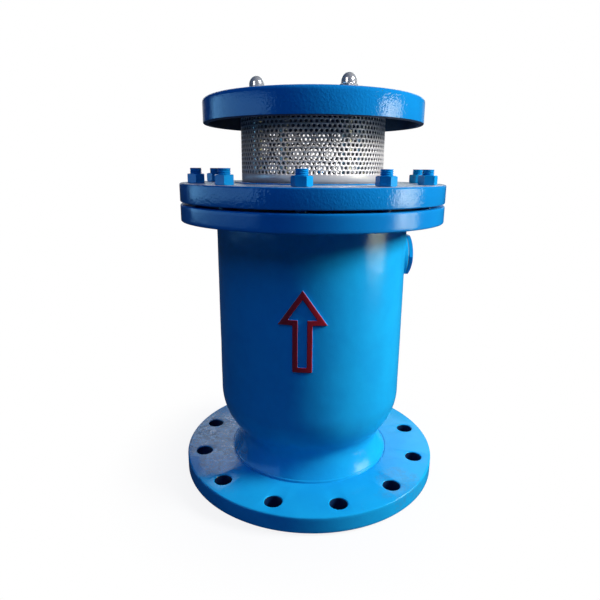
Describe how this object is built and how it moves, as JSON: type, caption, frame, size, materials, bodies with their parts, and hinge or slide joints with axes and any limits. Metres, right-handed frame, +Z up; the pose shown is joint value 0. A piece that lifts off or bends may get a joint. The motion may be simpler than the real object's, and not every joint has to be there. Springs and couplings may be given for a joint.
{
  "type": "quick exhaust valve",
  "caption": "Flanged cast barrel valve that vents air fast through a perforated screen under a rain cap, with a float, a main disc and a bleed orifice inside.",
  "frame": {"origin": "centre of the inlet flange's sealing face, where the valve sits on its pipe flange", "axes": "+Z up along the valve's axis, -Y to the front between two inlet bolt holes, +X to the right where the side plug is"},
  "size_m": [0.3399, 0.34, 0.5012],
  "materials": {
    "body_paint": "gloss paint over a steel casting",
    "bonnet_paint": "gloss paint over machined steel",
    "cap_paint": "gloss paint over turned steel",
    "plug_paint": "gloss paint over steel",
    "fastener_paint": "brushed-on gloss paint over plated steel",
    "gasket": "matt black sheet rubber",
    "fibre_seal": "compressed fibre",
    "screen_steel": "perforated stainless sheet",
    "stud_steel": "plated steel",
    "bright_nut": "polished stainless",
    "machined_steel": "turned stainless",
    "screw_steel": "stainless fasteners",
    "rod_steel": "drawn stainless bar",
    "cage_steel": "water-cut stainless plate",
    "bronze": "turned bronze",
    "brass": "turned brass",
    "rubber": "moulded rubber",
    "nylon": "turned nylon",
    "float_steel": "spun stainless, welded at the seam"
  },
  "bodies": {
    "base": {"valve_body": "body_paint", "side_plug": "plug_paint", "plug_seal": "fibre_seal", "body_gasket": "gasket", "bonnet": "bonnet_paint", "bonnet_studs": "fastener_paint", "bonnet_nuts": "fastener_paint", "outlet_screen": "screen_steel", "cap": "cap_paint", "cap_studs": "stud_steel", "cap_nuts": "bright_nut", "seat_gasket": "fibre_seal", "seat_ring": "machined_steel", "seat_screws": "screw_steel", "guide_rods": "rod_steel", "cage_foot": "cage_steel", "guide_bush": "bronze"},
    "disc": {"main_disc": "machined_steel", "disc_seal": "rubber", "seal_retainer": "machined_steel", "stem": "machined_steel", "stop_washer": "nylon", "stop_nut": "screw_steel", "lock_nut": "screw_steel", "orifice_nozzle": "brass", "pilot_housing": "machined_steel"},
    "float": {"float_rod": "machined_steel", "pilot_pad": "rubber", "rod_nut": "screw_steel", "float_ball": "float_steel"}
  },
  "joints": [
    {"name": "disc_lift", "type": "slide", "parent": "base", "child": "disc", "axis": [0, 0, 1], "range_m": [0, 0.04]},
    {"name": "float_rise", "type": "slide", "parent": "disc", "child": "float", "axis": [0, 0, 1], "range_m": [0, 0.008]}
  ]
}
